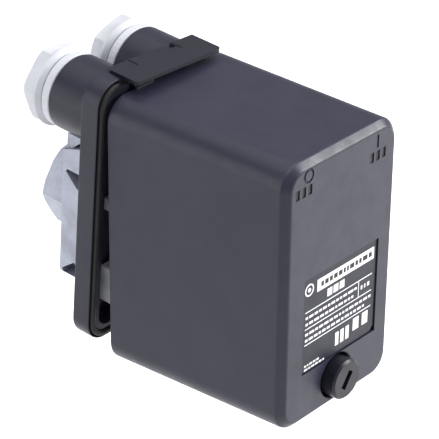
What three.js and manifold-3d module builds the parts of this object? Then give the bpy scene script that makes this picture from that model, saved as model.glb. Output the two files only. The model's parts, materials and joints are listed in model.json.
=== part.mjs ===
// Air-compressor pressure switch: a black box cover hangs ajar on a base that carries two cable glands,
// a die-cast pressure head, an auto/off rocker and the spring, lever and contact mechanism.
// Millimetres, +X to the right seen from the front, -Y to the front, +Z up.
// The origin is the centre of the rear pressure port's face.
import * as THREE from "three";
import { mergeVertices } from "three/addons/utils/BufferGeometryUtils.js";
import Module from "manifold-3d";

const wasm = await Module();
wasm.setup();

// ---------------------------------------------------------------- driving dimensions
// Inside the part, Y is measured from the front face of the base and Z from the cover's top edge.
const PORT_REACH = 33.5; // front face of the base to the face of the rear port
const PORT_DROP = 48.2; // cover's top edge down to the port axis
const GAP = 0.3; // clearance between pieces that touch

const BASE = { halfWidth: 27.5, top: 4.3, bottom: -80, radius: 7.2, back: 6.2, floor: 4.2 };
const TRAY = { halfWidth: 22.8, top: -4.4, bottom: -75.7, radius: 3.4 };
const SEAL = { halfWidth: 26.5, top: 3.2, bottom: -79.3, radius: 6.3, wide: 1.9, front: -0.7, back: 2.2 };
const SEAL_LIP = 0.3; // wall left between the seal's groove and the edge of the base
const ROCKER_BAY = { halfWidth: 19.7, seat: 1.7 }; // the seal stops either side of the rocker
const RELIEF = { reach: 13, turn: THREE.MathUtils.degToRad(51.2) }; // flat across the top right corner

const COVER = { halfWidth: 25.4, height: 84, depth: 62.6, radius: 7.4, wall: 2.4 };
const COVER_DRAFT = 0.0171; // narrowing of each side per millimetre of depth
const COVER_CHAMFER = 2.05;
const COVER_AJAR = THREE.MathUtils.degToRad(4.3);
const HINGE = { y: -0.5, z: 0.7, bead: 0.8, pocket: 1.15, from: 7, to: 14 };
const RIM_FROM_HINGE = { y: -0.63, z: -0.66 };

const LABEL = { left: -15.6, right: 17.1, bottom: -66.7, top: -36.9, pocket: 1.2, thick: 0.5 };
const COVER_SCREW = { z: -73.6, head: 6, shank: 2.4, tip: 2.0, proud: 3.9, headLength: 5.5, end: -22 };
const SCREW_SLOT = { half: 2.8, wide: 1.7, deep: 2.4, turn: THREE.MathUtils.degToRad(-54) };
const COUNTERBORE = { radius: 6.7, floor: -57 };
const STUD = { z: COVER_SCREW.z + HINGE.z + RIM_FROM_HINGE.z, radius: 3.6, front: -21.5 };

const LEVER_PLATE = { left: -18.4, right: 17.2, front: -5.5, back: 5.9, bottom: 3.05, top: 4.15 };
const LEVER_PIVOT = -6.5;
const LEVER_TILT = THREE.MathUtils.degToRad(2.4); // resting in AUTO, right end down

const TUBE = { x: 13.1, z: -10.2, radius: 11.3, end: 21.5, bore: 9.3 };
const NUT = { flats: 20.8, corner: 11.9, skirt: 12.2, from: 24.8, hexFrom: 26.6, end: 31.4 };
const NUT_TURN = { left: THREE.MathUtils.degToRad(8), right: THREE.MathUtils.degToRad(-19) };

const HEX_PORT = { flats: 24.2, from: 17, bore: 5.7, boreDepth: 12 };
const HEAD = { halfWidth: 20, neckHalf: 18.8, neckTop: -18, split: -25.4, foot: -66.6, back: 19.1, pocket: 2.8 };
const HEAD_SCREW_PITCH = 13; // each screw's offset from the port axis

const FRAME = { halfWidth: 15.4, bottom: -71, top: -27.5, front: 2.6, back: 3.8, ears: 19, gauge: 1.4 };
const PIVOT = { y: -8, z: -66, radius: 1.5 };
const RANGE = { x: 0, z: -37 };
const DIFF = { x: 8, z: -31 };
const EARTH = { x: -11.5, z: -54 };
const BLOCK = { halfWidth: 20.5, back: -16, front: -42, bottom: -27.2, top: -8 };
const POLE_X = [-13, 0, 13];
const POLE_MID = -17.5; // height of the contact bridges

// ---------------------------------------------------------------- solids
function solid(geometry) {
  const bare = geometry.clone();
  bare.deleteAttribute("normal");
  bare.deleteAttribute("uv");
  const merged = mergeVertices(bare, 1e-4);
  return new wasm.Manifold(
    new wasm.Mesh({
      numProp: 3,
      vertProperties: new Float32Array(merged.attributes.position.array),
      triVerts: new Uint32Array(merged.index.array),
    }),
  );
}
const join = (...pieces) => pieces.reduce((sum, piece) => sum.add(piece));
const cut = (body, ...tools) => tools.reduce((rest, tool) => rest.subtract(tool), body);

function brick(x0, x1, y0, y1, z0, z1) {
  const box = new THREE.BoxGeometry(Math.abs(x1 - x0), Math.abs(y1 - y0), Math.abs(z1 - z0));
  return box.translate((x0 + x1) / 2, (y0 + y1) / 2, (z0 + z1) / 2);
}
const block = (...sides) => solid(brick(...sides));
// Round bar along Y; the hex bar is the same with six sides and its flats stated.
function rod(radius, y0, y1, x = 0, z = 0, sides = 24, turn = 0) {
  const bar = new THREE.CylinderGeometry(radius, radius, Math.abs(y1 - y0), sides);
  return solid(bar.rotateY(turn).translate(x, (y0 + y1) / 2, z));
}
const hexRod = (flats, y0, y1, x = 0, z = 0, turn = 0) =>
  rod(flats / Math.sqrt(3), y0, y1, x, z, 6, Math.PI / 2 + turn);
function crossRod(radius, x0, x1, y, z, sides = 20) {
  const bar = new THREE.CylinderGeometry(radius, radius, Math.abs(x1 - x0), sides);
  return solid(bar.rotateZ(Math.PI / 2).translate((x0 + x1) / 2, y, z));
}
function uprightRod(radius, z0, z1, x, y, sides = 16) {
  const bar = new THREE.CylinderGeometry(radius, radius, Math.abs(z1 - z0), sides);
  return solid(bar.rotateX(Math.PI / 2).translate(x, y, (z0 + z1) / 2));
}
// A ring or knob turned about Y from points of [radius, y].
function turned(profile, x = 0, z = 0, sides = 32) {
  const points = profile.map(([r, y]) => new THREE.Vector2(r, y));
  return solid(new THREE.LatheGeometry(points, sides).translate(x, 0, z));
}
// Corners of an upright rounded rectangle, counter-clockwise seen from the front.
function roundedOutline(halfWidth, top, bottom, radius, arc = 6) {
  const shape = new THREE.Shape();
  shape.absarc(halfWidth - radius, top - radius, radius, 0, Math.PI / 2);
  shape.absarc(-halfWidth + radius, top - radius, radius, Math.PI / 2, Math.PI);
  shape.absarc(-halfWidth + radius, bottom + radius, radius, Math.PI, 1.5 * Math.PI);
  shape.absarc(halfWidth - radius, bottom + radius, radius, 1.5 * Math.PI, 2 * Math.PI);
  shape.closePath();
  const points = shape.getPoints(arc);
  return points.filter((p, i) => i === 0 || p.distanceTo(points[i - 1]) > 1e-4).slice(0, -1);
}
// A prism along X over [y, z] corners.
function sidePrism(corners, x0, x1) {
  const shape = new THREE.Shape(corners.map(([y, z]) => new THREE.Vector2(y, z)));
  const prism = new THREE.ExtrudeGeometry(shape, { depth: Math.abs(x1 - x0), bevelEnabled: false });
  return solid(prism.rotateX(Math.PI / 2).rotateZ(Math.PI / 2).translate(Math.min(x0, x1), 0, 0));
}
function slab(outline, y0, y1) {
  const depth = Math.abs(y1 - y0);
  const prism = new THREE.ExtrudeGeometry(new THREE.Shape(outline), { depth, bevelEnabled: false });
  return solid(prism.rotateX(Math.PI / 2).translate(0, Math.max(y0, y1), 0));
}
const insetOutline = ({ halfWidth, top, bottom, radius }, inset) =>
  roundedOutline(halfWidth - inset, top - inset, bottom + inset, Math.max(radius - inset, 1.6));
const frameRing = (size, outer, inner, back, front) =>
  cut(slab(insetOutline(size, outer), back, front), slab(insetOutline(size, inner), back + 1, front - 1));

// Skins a stack of outlines, each at its own y, from back to front.
function loft(stations) {
  const count = stations[0].outline.length;
  const position = [];
  const index = [];
  for (const { y, outline } of stations) for (const p of outline) position.push(p.x, y, p.y);
  for (let s = 0; s < stations.length - 1; s++)
    for (let i = 0; i < count; i++) {
      const j = (i + 1) % count;
      const [a, b, c, d] = [s * count + i, s * count + j, (s + 1) * count + j, (s + 1) * count + i];
      index.push(a, b, c, a, c, d);
    }
  const caps = THREE.ShapeUtils.triangulateShape(stations[0].outline, []);
  const last = (stations.length - 1) * count;
  for (const [a, b, c] of caps) index.push(c, b, a, last + a, last + b, last + c);
  const skin = new THREE.BufferGeometry();
  skin.setAttribute("position", new THREE.Float32BufferAttribute(position, 3));
  skin.setIndex(index);
  return solid(skin);
}
function coverOutline(y, inset) {
  const pull = inset - y * COVER_DRAFT;
  const radius = Math.max(COVER.radius - inset, 2);
  return roundedOutline(COVER.halfWidth - pull, -pull, -COVER.height + pull, radius);
}

class Coil extends THREE.Curve {
  constructor(radius, turns, length) {
    super();
    Object.assign(this, { radius, turns, length });
  }
  getPoint(t) {
    const angle = 2 * Math.PI * this.turns * t;
    return new THREE.Vector3(
      this.radius * Math.cos(angle),
      -this.length * t,
      this.radius * Math.sin(angle),
    );
  }
}
function coilSpring({ coil, wire, turns, springLength, steps, sides }) {
  const section = new THREE.Shape();
  for (let i = 0; i < sides; i++) {
    const angle = (2 * Math.PI * i) / sides;
    section[i ? "lineTo" : "moveTo"](wire * Math.cos(angle), wire * Math.sin(angle));
  }
  section.closePath();
  return solid(
    new THREE.ExtrudeGeometry(section, {
      extrudePath: new Coil(coil, turns, springLength),
      steps: Math.round(turns * steps),
      bevelEnabled: false,
    }),
  );
}

// ---------------------------------------------------------------- scene graph
const FINISH = {
  blackPlastic: { color: 0x26262a, roughness: 0.62, metalness: 0 },
  basePlastic: { color: 0x2c2c31, roughness: 0.58, metalness: 0 },
  rubber: { color: 0x17171a, roughness: 0.85, metalness: 0 },
  palePlastic: { color: 0xdfe1e6, roughness: 0.45, metalness: 0 },
  dieCast: { color: 0xa9adb8, roughness: 0.42, metalness: 0.85 },
  zincSteel: { color: 0xb9bcc2, roughness: 0.32, metalness: 0.95 },
  springSteel: { color: 0x8e9196, roughness: 0.3, metalness: 0.95 },
  brass: { color: 0xc2a055, roughness: 0.35, metalness: 0.95 },
  thermoset: { color: 0x3a3431, roughness: 0.6, metalness: 0 },
  ivoryPlastic: { color: 0xc9c3b2, roughness: 0.5, metalness: 0 },
  label: { color: 0x1b1b1e, roughness: 0.5, metalness: 0 },
};
const pressureSwitch = new THREE.Group();
const base = new THREE.Group(); // base coordinates: y = 0 at its front face, z = 0 at the cover's top edge
base.position.set(0, -PORT_REACH, PORT_DROP);
pressureSwitch.add(base);

function add(group, name, body, finish) {
  const raw = body.getMesh();
  const geometry = new THREE.BufferGeometry();
  geometry.setAttribute("position", new THREE.BufferAttribute(new Float32Array(raw.vertProperties), 3));
  geometry.setIndex(new THREE.BufferAttribute(new Uint32Array(raw.triVerts), 1));
  const flat = geometry.toNonIndexed();
  flat.computeVertexNormals();
  const mesh = new THREE.Mesh(flat, new THREE.MeshStandardMaterial(FINISH[finish]));
  mesh.name = name;
  group.add(mesh);
}

// ---------------------------------------------------------------- base housing
function headScrewPlaces() {
  const places = [];
  for (const up of [1, -1]) {
    for (const side of [-1, 1]) {
      places.push([side * HEAD_SCREW_PITCH, up * HEAD_SCREW_PITCH - PORT_DROP]);
    }
  }
  return places;
}
// What the corner relief takes away, moved outwards by the margin.
const relief = (margin) => solid(brick(RELIEF.reach + margin, 40, -5, 10, -30, 30).rotateY(-RELIEF.turn));
const rockerBay = (margin) =>
  block(-ROCKER_BAY.halfWidth - margin, ROCKER_BAY.halfWidth + margin, -3, 4, -2 - margin, 6);

function baseHousing() {
  const { back, floor } = BASE;
  const tray = slab(insetOutline(TRAY, 0), floor, -1);
  const tubes = [-TUBE.x, TUBE.x].map((x) => rod(TUBE.radius, back - 1, TUBE.end, x, TUBE.z, 40));
  const web = block(-TUBE.x, TUBE.x, back - 1, 15, TUBE.z - 7, TUBE.z + 7);
  const shell = join(cut(slab(insetOutline(BASE, 0), back, 0), tray), ...tubes, web);
  const studBoss = rod(4.8, back, 0, 0, STUD.z, 24);
  const grooveOuter = slab(insetOutline(BASE, SEAL_LIP), SEAL.back + GAP, -1);
  const grooveInner = slab(insetOutline(SEAL, SEAL.wide + 0.2), SEAL.back + 1, -2);
  const groove = cut(grooveOuter, grooveInner, rockerBay(-0.2), relief(-0.6));
  const bores = [-TUBE.x, TUBE.x].map((x) => rod(TUBE.bore, floor - 0.2, TUBE.end + 1, x, TUBE.z, 32));
  const { left, right } = LEVER_PLATE;
  const leverSeat = block(left - 1, right + 1, -1, back + 1, ROCKER_BAY.seat, BASE.top + 1);
  const stemSlot = block(-4.2, 4.2, 1.8, floor, -6, 3);
  const hingePockets = [-1, 1].map((side) =>
    crossRod(HINGE.pocket, side * (HINGE.from - 0.4), side * (HINGE.to + 0.4), HINGE.y, HINGE.z),
  );
  const pistonHole = rod(11.6, floor - 1, back + 1, 0, -PORT_DROP, 32);
  const screwHoles = headScrewPlaces().map(([x, z]) => rod(2.2, floor - 1, back + 1, x, z, 14));
  const studHole = rod(2.3, -3, back + 1, 0, STUD.z, 16);
  const pinHole = rod(1.5, floor - 1, back + 1, 0, LEVER_PIVOT, 16);
  return cut(
    join(shell, studBoss),
    groove,
    relief(0),
    ...bores,
    leverSeat,
    stemSlot,
    ...hingePockets,
    pistonHole,
    ...screwHoles,
    studHole,
    pinHole,
  );
}
add(base, "base_housing", baseHousing(), "basePlastic");
const sealRing = frameRing(SEAL, 0, SEAL.wide, SEAL.back, SEAL.front);
add(base, "cover_seal", cut(sealRing, rockerBay(0), relief(-0.9)), "rubber");

// ---------------------------------------------------------------- cover, label and captive screw
const hinge = new THREE.Group();
hinge.position.set(0, HINGE.y, HINGE.z);
hinge.rotation.x = -COVER_AJAR;
base.add(hinge);
const cover = new THREE.Group(); // cover coordinates: y = 0 at its rim, z = 0 at its top edge
cover.position.set(0, RIM_FROM_HINGE.y, RIM_FROM_HINGE.z);
hinge.add(cover);

function coverShell() {
  const front = -COVER.depth;
  const shoulder = front + COVER_CHAMFER;
  const skin = loft([
    { y: 0, outline: coverOutline(0, 0) },
    { y: shoulder, outline: coverOutline(shoulder, 0) },
    { y: front, outline: coverOutline(front, COVER_CHAMFER) },
  ]);
  const inside = loft([
    { y: 1, outline: coverOutline(1, COVER.wall) },
    { y: front + COVER.wall, outline: coverOutline(front + COVER.wall, COVER.wall) },
  ]);
  const { z } = COVER_SCREW;
  const boss = rod(8, front + 1, -50.5, 0, z, 36);
  const lips = [-1, 1].map((side) => block(side * 6.5, side * 19, -3, 0, 2 - COVER.height, -76.6));
  const knuckles = [-1, 1].flatMap((side) => [
    crossRod(HINGE.bead, side * HINGE.from, side * HINGE.to, -RIM_FROM_HINGE.y, -RIM_FROM_HINGE.z, 16),
    block(side * HINGE.from, side * HINGE.to, -0.9, -RIM_FROM_HINGE.y, -0.4, 0.45),
  ]);
  const labelPocket = block(
    LABEL.left,
    LABEL.right,
    front - 1,
    front + LABEL.pocket,
    LABEL.bottom,
    LABEL.top,
  );
  return cut(
    join(cut(skin, inside), boss, ...lips, ...knuckles),
    labelPocket,
    rod(COUNTERBORE.radius, front - 1, COUNTERBORE.floor, 0, z, 36),
    rod(2.9, COUNTERBORE.floor - 1, -50, 0, z),
  );
}
add(cover, "cover", coverShell(), "blackPlastic");

function labelPlate() {
  const back = -COVER.depth + LABEL.pocket - GAP;
  const cornerCut = 1.6;
  const [x0, x1, z0, z1] = [
    LABEL.left + GAP,
    LABEL.right - GAP,
    LABEL.bottom + GAP,
    LABEL.top - GAP,
  ];
  const outline = [
    [x0, z0],
    [x1 - cornerCut, z0],
    [x1, z0 + cornerCut],
    [x1, z1],
    [x0, z1],
  ].map(([x, z]) => new THREE.Vector2(x, z));
  return slab(outline, back, back - LABEL.thick);
}
add(cover, "label_plate", labelPlate(), "label");

function coverScrew() {
  const face = -COVER.depth - COVER_SCREW.proud;
  const neck = face + COVER_SCREW.headLength;
  const { head, shank, tip, end, z } = COVER_SCREW;
  const profile = [
    [0, face],
    [head - 0.5, face],
    [head, face + 0.5],
    [head, neck],
    [shank, neck],
    [shank, end - 9],
    [tip, end - 8.5],
    [tip, end - 0.8],
    [tip - 0.8, end],
    [0, end],
  ];
  const { half, wide, deep, turn } = SCREW_SLOT;
  const slot = brick(-half, half, face - 1, face + deep, -wide / 2, wide / 2);
  return cut(turned(profile, 0, z), solid(slot.rotateY(turn).translate(0, 0, z)));
}
add(cover, "cover_screw", coverScrew(), "blackPlastic");
function screwRetainer() {
  const { shank, z } = COVER_SCREW;
  return cut(rod(4.6, -46.5, -47.5, 0, z), rod(shank + GAP, -46, -48, 0, z));
}
add(cover, "screw_retainer", screwRetainer(), "springSteel");

function coverStud() {
  const { z, radius, front } = STUD;
  const post = join(
    rod(2, BASE.back - GAP, -1, 0, z, 16),
    rod(radius, -GAP, front, 0, z, 20),
  );
  return cut(post, rod(2.8, -12, front - 1, 0, z, 16));
}
add(base, "cover_stud", coverStud(), "zincSteel");

// ---------------------------------------------------------------- auto/off rocker
const rocker = new THREE.Group(); // rocker coordinates: z = 0 on its pivot
rocker.position.set(0, 0, LEVER_PIVOT);
rocker.rotation.y = LEVER_TILT;
base.add(rocker);

function autoOffLever() {
  const p = LEVER_PLATE;
  const lift = -LEVER_PIVOT;
  const radius = 1.6;
  const plan = new THREE.Shape();
  plan.moveTo(p.left, -p.back);
  plan.lineTo(p.left, -p.front - 0.6);
  plan.lineTo(p.left + 0.6, -p.front);
  plan.lineTo(p.right - radius, -p.front);
  plan.absarc(p.right - radius, -p.front - radius, radius, Math.PI / 2, 0, true);
  plan.lineTo(p.right, -p.back);
  plan.closePath();
  const sheet = new THREE.ExtrudeGeometry(plan, {
    depth: p.top - p.bottom,
    bevelEnabled: false,
    curveSegments: 5,
  });
  const plate = solid(sheet.rotateX(Math.PI).translate(0, 0, p.top + lift));
  const notch = block(4.6, 7.6, 3.4, p.back + 1, p.top + lift - 0.7, p.top + lift + 1);
  const ridges = [-9.8, 8.2].map((x) =>
    block(x, x + 0.5, 2, p.back - 0.1, p.top + lift - 0.5, p.top + lift + 0.25),
  );
  const stem = block(-2.5, 2.5, 2.1, 3.9, -5.5, p.bottom + lift + 0.2);
  return cut(join(cut(plate, notch), ...ridges, stem), rod(1.5, 1, 5, 0, 0, 16));
}
add(rocker, "auto_off_lever", autoOffLever(), "basePlastic");
const leverPin = join(
  rod(1.2, BASE.back - 0.2, 1.6, 0, LEVER_PIVOT, 16),
  rod(2, 1.75, 1, 0, LEVER_PIVOT, 20),
);
add(base, "auto_off_pin", leverPin, "zincSteel");

// ---------------------------------------------------------------- cable glands
function glandBody(x) {
  const sleeve = [
    [6.5, 8],
    [TUBE.bore - GAP, 8],
    [TUBE.bore - GAP, TUBE.end + GAP],
    [11.2, TUBE.end + GAP],
    [11.2, NUT.from - GAP],
    [8.2, NUT.from - GAP],
    [8.2, 27.6],
    [6.5, 27.6],
    [6.5, 8],
  ];
  return turned(sleeve, x, TUBE.z, 36);
}
// A flared skirt, then a hex whose corners are turned round and chamfered at the end.
function glandNut(x, turn) {
  const { flats, corner, skirt, from, hexFrom, end } = NUT;
  const flare = [
    [0, from],
    [skirt - 1.3, from],
    [skirt, from + 1.2],
    [skirt, hexFrom + 0.3],
    [0, hexFrom + 0.3],
  ];
  const limit = [
    [0, hexFrom - 1],
    [corner, hexFrom - 1],
    [corner, end - 1.2],
    [corner - 1.3, end],
    [0, end],
  ];
  const hex = hexRod(flats, hexFrom, end + 1, x, TUBE.z, turn).intersect(turned(limit, x, TUBE.z, 36));
  const seat = rod(8.5, from - 1, 29.9, x, TUBE.z);
  return cut(join(hex, turned(flare, x, TUBE.z, 36)), seat, rod(5.4, 29, end + 1, x, TUBE.z));
}
const glandSeal = (x) => cut(rod(8.1, 27.9, 29.6, x, TUBE.z), rod(4.4, 27, 30, x, TUBE.z, 24));
for (const [side, x] of [["left", -TUBE.x], ["right", TUBE.x]]) {
  add(base, `gland_body_${side}`, glandBody(x), "palePlastic");
  add(base, `gland_nut_${side}`, glandNut(x, NUT_TURN[side]), "palePlastic");
  add(base, `gland_seal_${side}`, glandSeal(x), "rubber");
}

// ---------------------------------------------------------------- pressure head, diaphragm and piston
// Shapes on the casting's sides, as [y, z] corners: the neck's notch, the ramp that rises from the block's
// shoulder towards the base, and the cored pockets, one point-down and one point-up.
const NECK_NOTCH = [[17.1, -24.9], [14.4, -22.3], [9, -20.2], [9, -23.2], [14.4, -24.3]];
const SHOULDER_RAMP = [[19.3, -25.4], [13.3, -23.2], [6.5, -20.7], [6.5, -26.5], [19.3, -26.5]];
const SIDE_POCKETS = [
  [[17.9, -32], [17.4, -31.2], [9, -31.2], [13.2, -36.4]],
  [[17.8, -64.8], [13.4, -61], [9, -64.8], [9, -67.6], [17.8, -67.6]],
];
function pressureHead() {
  const front = BASE.back + GAP;
  const z = -PORT_DROP;
  const { halfWidth, neckHalf, neckTop, split, foot, back, pocket } = HEAD;
  const neck = slab(roundedOutline(neckHalf, neckTop, -40, 1, 2), back, front);
  const middle = slab(roundedOutline(halfWidth, split, foot, 1.5, 3), back + 0.2, front);
  const collar = rod(12.6, 19, 22.5, 0, z, 32);
  const hex = hexRod(HEX_PORT.flats, HEX_PORT.from, PORT_REACH, 0, z);
  const recess = rod(16, front - 1, front + 2, 0, z, 32);
  const chamber = rod(12, front, front + 4, 0, z, 28);
  const port = rod(HEX_PORT.bore, PORT_REACH - HEX_PORT.boreDepth, PORT_REACH + 1, 0, z, 28);
  const passage = rod(2.5, front + 3, PORT_REACH - HEX_PORT.boreDepth + 1, 0, z, 16);
  const screwHoles = headScrewPlaces().map(([x, hz]) => rod(2.1, front - 1, 11.2, x, hz, 14));
  const sides = [-1, 1];
  const notches = sides.map((side) => sidePrism(NECK_NOTCH, side * (neckHalf - pocket), side * (neckHalf + 1)));
  const ramps = sides.map((side) => sidePrism(SHOULDER_RAMP, side * (halfWidth - pocket), side * halfWidth));
  const coring = sides.flatMap((side) =>
    SIDE_POCKETS.map((corners) => sidePrism(corners, side * (halfWidth - pocket), side * (halfWidth + 1))),
  );
  const tubeRoom = sides.map((side) => rod(TUBE.radius + GAP, front - 1, back + 2, side * TUBE.x, TUBE.z));
  const casting = join(cut(neck, ...notches), middle, collar, hex, ...ramps);
  return cut(casting, recess, chamber, port, passage, ...screwHoles, ...coring, ...tubeRoom);
}
add(base, "pressure_head", pressureHead(), "dieCast");
add(base, "diaphragm", rod(15.7, 6.8, 8, 0, -PORT_DROP, 36), "rubber");
const piston = join(
  rod(11, 5.2, 6.4, 0, -PORT_DROP, 36),
  rod(4, 5.4, -5.4, 0, -PORT_DROP, 24),
  rod(2, -5.2, PIVOT.y + 1 + GAP, 0, -PORT_DROP, 20),
);
add(base, "piston", piston, "zincSteel");

headScrewPlaces().forEach(([x, z], i) => {
  const shaft = rod(1.7, 1.8, 10.8, x, z, 14);
  const head = cut(rod(2.8, 2.3, -0.5, x, z, 20), block(x - 4, x + 4, -1, 0.5, z - 0.45, z + 0.45));
  add(base, `head_screw_${i + 1}`, join(shaft, head), "zincSteel");
});

// ---------------------------------------------------------------- mechanism frame, lever and springs
function mechanismFrame() {
  const { halfWidth, bottom, top, front, back, ears, gauge } = FRAME;
  const sheet = block(-halfWidth, halfWidth, front, back, bottom, top);
  const ear = (side, z0, z1, reach) =>
    join(
      block(side * (halfWidth - 1), side * ears, front, back, z0, z1),
      block(side * (ears - gauge), side * ears, reach, back, z0, z1),
    );
  const shelf = (side) =>
    join(
      block(side * 12.5, side * (halfWidth - 0.2), -1, back, top - gauge, top),
      block(side * 13, side * 19.6, -40, -0.6, top - gauge, top),
    );
  const wings = [-1, 1].flatMap((side) => [
    ear(side, -69.1, -57.8, -12), // carries the lever's pin
    ear(side, -38.8, -35.2, 0.4),
    shelf(side),
  ]);
  const pinHole = crossRod(PIVOT.radius + GAP, -21, 21, PIVOT.y, PIVOT.z, 20);
  const rodHole = rod(5, 1, 5, 0, -PORT_DROP);
  const screwHoles = headScrewPlaces().map(([x, z]) => rod(2.1, 1, 5, x, z, 14));
  const studHoles = [RANGE, DIFF].map(({ x, z }) => rod(1.8, 1, 5, x, z, 14));
  const earthHole = rod(1.9, 1, 5, EARTH.x, EARTH.z, 14);
  const shelfHoles = [-1, 1].map((side) => uprightRod(1.9, -30, -27, side * 16.5, -29));
  const studNotch = rod(5.2, 1, 5, 0, STUD.z, 20);
  return cut(
    join(sheet, ...wings),
    studNotch,
    pinHole,
    rodHole,
    ...screwHoles,
    ...studHoles,
    earthHole,
    ...shelfHoles,
  );
}
add(base, "mechanism_frame", mechanismFrame(), "zincSteel");

function mainLever() {
  const { y, z } = PIVOT;
  const arm = join(
    block(-14.5, 14.5, y - 1, y + 1, z, -32),
    block(-12.4, 12.4, y - 1, y + 1, -33, -18.5),
  );
  const barrelHalf = FRAME.ears - FRAME.gauge - GAP;
  const barrel = crossRod(3, -barrelHalf, barrelHalf, y, z, 24);
  return cut(
    join(arm, barrel),
    crossRod(PIVOT.radius + GAP, -20, 20, y, z, 20),
    rod(3.6, y - 2, y + 2, RANGE.x, RANGE.z),
    rod(2.1, y - 2, y + 2, DIFF.x, DIFF.z, 20),
  );
}
add(base, "main_lever", mainLever(), "zincSteel");
add(base, "main_lever_pin", crossRod(PIVOT.radius, -19.8, 19.8, PIVOT.y, PIVOT.z, 20), "springSteel");

// Spring, stud, seat and nut of one adjuster, from the frame forwards.
function adjuster(prefix, place, size) {
  const { x, z } = place;
  const springBack = PIVOT.y - 1 - GAP - size.wire;
  const springFront = springBack - size.springLength;
  const seatBack = springFront - size.wire - GAP;
  const nutBack = seatBack - size.seat - GAP;
  const bore = size.stud + GAP;
  const coil = coilSpring(size);
  add(base, `${prefix}_spring`, coil.translate([x, springBack, z]), "springSteel");
  const stud = join(
    rod(1.5, 3.6, 2, x, z, 18),
    rod(size.foot, 2.1, 0.9, x, z, 20),
    rod(size.stud, 1, nutBack - size.nut - 4, x, z, 20),
  );
  add(base, `${prefix}_stud`, stud, "zincSteel");
  const seat = cut(
    rod(size.coil + size.wire, seatBack, seatBack - size.seat, x, z),
    rod(bore, 0, -60, x, z, 20),
  );
  add(base, `${prefix}_spring_seat`, seat, "zincSteel");
  const nut = cut(hexRod(size.flats, nutBack, nutBack - size.nut, x, z), rod(bore, 0, -60, x, z, 20));
  add(base, `${prefix}_nut`, nut, "brass");
}
adjuster("range", RANGE, {
  coil: 5.1,
  wire: 0.95,
  turns: 6.5,
  springLength: 23,
  stud: 2,
  foot: 4,
  seat: 1.6,
  nut: 5,
  flats: 10,
  steps: 12,
  sides: 6,
});
adjuster("differential", DIFF, {
  coil: 2.55,
  wire: 0.45,
  turns: 6.5,
  springLength: 12,
  stud: 1.5,
  foot: 3,
  seat: 0.8,
  nut: 3,
  flats: 5.8,
  steps: 9,
  sides: 4,
});

const earthClamp = cut(
  block(EARTH.x - 4, EARTH.x + 4, 1.1, 2.1, EARTH.z - 4, EARTH.z + 4),
  rod(1.9, 0, 3, EARTH.x, EARTH.z, 18),
);
add(base, "earth_clamp", earthClamp, "brass");
const earthScrew = cut(
  join(rod(1.6, 3.7, 0.7, EARTH.x, EARTH.z, 18), rod(3.2, 0.8, -1.6, EARTH.x, EARTH.z, 24)),
  block(EARTH.x - 4, EARTH.x + 4, -2, -0.8, EARTH.z - 0.4, EARTH.z + 0.4),
);
add(base, "earth_screw", earthScrew, "zincSteel");

// ---------------------------------------------------------------- contact block
const CHANNEL = { half: 3.7, back: -34.7 };
function contactBlock() {
  const body = block(-BLOCK.halfWidth, BLOCK.halfWidth, BLOCK.front, BLOCK.back, BLOCK.bottom, BLOCK.top);
  const { half, back } = CHANNEL;
  const channels = POLE_X.map((x) =>
    block(x - half, x + half, BLOCK.front - 1, back, BLOCK.bottom - 1, BLOCK.top + 1),
  );
  const rearCavity = block(-18, 18, -32.5, BLOCK.back + 1, -22.6, -12.4);
  const fingerHoles = POLE_X.map((x) => block(x - 1.4, x + 1.4, -36, -32, POLE_MID - 0.9, POLE_MID + 0.9));
  const screwHoles = [-1, 1].map((side) => uprightRod(1.8, BLOCK.bottom - 1, -24, side * 16.5, -29));
  return cut(body, ...channels, rearCavity, ...fingerHoles, ...screwHoles);
}
add(base, "contact_block", contactBlock(), "thermoset");

function contactCarrier() {
  const fingers = POLE_X.flatMap((x) => [
    block(x - 1, x + 1, -39.9, -28, POLE_MID - 0.5, POLE_MID + 0.5),
    block(x - 1.9, x + 1.9, -40.4, -39.6, POLE_MID - 1.4, POLE_MID + 1.4),
    block(x - 1.9, x + 1.9, -36.2, -35.2, POLE_MID - 1.05, POLE_MID + 1.05),
  ]);
  const beam = block(-15.5, 15.5, -28.5, -24.5, POLE_MID - 2, POLE_MID + 2);
  const plunger = block(-3, 3, -25, PIVOT.y - 1 - GAP, -22, -19);
  const neck = block(-3, 3, -28, -24.8, -22, POLE_MID);
  return join(beam, neck, plunger, ...fingers);
}
add(base, "contact_carrier", contactCarrier(), "ivoryPlastic");

POLE_X.forEach((x, i) => {
  const bridge = cut(
    block(x - 2.2, x + 2.2, -38, -36.5, POLE_MID - 2.7, POLE_MID + 2.7),
    block(x - 1.3, x + 1.3, -39, -36, POLE_MID - 0.8, POLE_MID + 0.8),
  );
  add(base, `contact_bridge_${i + 1}`, bridge, "brass");
  for (const [row, side] of [["line", 1], ["load", -1]]) {
    const z = (offset) => POLE_MID + side * offset;
    const centre = z(5.9);
    const clamp = join(
      block(x - 3.4, x + 3.4, -41.5, -35, z(3.3), z(8.6)),
      block(x - 2.4, x + 2.4, -36.2, -35, z(1.3), z(3.5)),
    );
    const terminal = cut(clamp, rod(1.8, -42, -36.8, x, centre, 14));
    add(base, `${row}_terminal_${i + 1}`, terminal, "brass");
    const head = cut(
      rod(2.6, -41.8, -43.8, x, centre, 16),
      block(x - 3, x + 3, -44, -42.9, centre - 0.4, centre + 0.4),
    );
    add(base, `${row}_screw_${i + 1}`, join(head, rod(1.5, -41.9, -37.2, x, centre, 12)), "zincSteel");
  }
});

for (const [side, sign] of [["left", -1], ["right", 1]]) {
  const x = sign * 16.5;
  const screw = join(uprightRod(1.5, -29.5, -24.4, x, -29), uprightRod(2.6, -31.2, -29.3, x, -29));
  add(base, `block_screw_${side}`, screw, "zincSteel");
}

export default pressureSwitch;
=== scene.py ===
"""Looks of a compressor pressure switch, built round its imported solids."""

import json
import math
import random

import bmesh
import bpy
from mathutils import Matrix, Vector


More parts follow.
